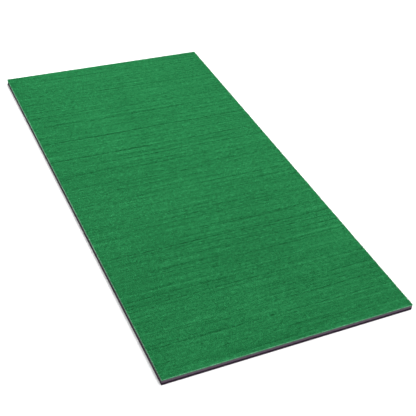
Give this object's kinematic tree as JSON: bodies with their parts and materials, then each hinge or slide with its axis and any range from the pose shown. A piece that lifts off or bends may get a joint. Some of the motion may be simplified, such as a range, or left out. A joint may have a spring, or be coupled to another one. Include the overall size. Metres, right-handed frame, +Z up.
{
  "type": "golf hitting mat",
  "caption": "Flat rectangular golf practice mat: short green tufted turf laminated over a foam cushion and a heavy rubber base, with flush cut edges.",
  "frame": {"origin": "middle of the mat's underside, on the floor", "axes": "+X across the mat, along the rows of tufts; +Y along the mat's length, the line of play; +Z up, out of the hitting surface"},
  "size_m": [0.762, 1.524, 0.021],
  "materials": {
    "rubber_base": "matte",
    "base_adhesive": "satin",
    "foam_pad": "matte, fine closed cells",
    "turf_adhesive": "satin",
    "secondary_backing": "open plain weave",
    "latex_precoat": "matte, filled latex",
    "primary_backing": "flat tape weave",
    "nylon_pile": "short dense cut pile"
  },
  "bodies": {
    "root": {"rubber_base": "rubber_base", "base_adhesive": "base_adhesive", "foam_pad": "foam_pad", "turf_adhesive": "turf_adhesive", "secondary_backing": "secondary_backing", "latex_precoat": "latex_precoat", "primary_backing": "primary_backing", "nylon_pile": "nylon_pile"}
  },
  "joints": []
}
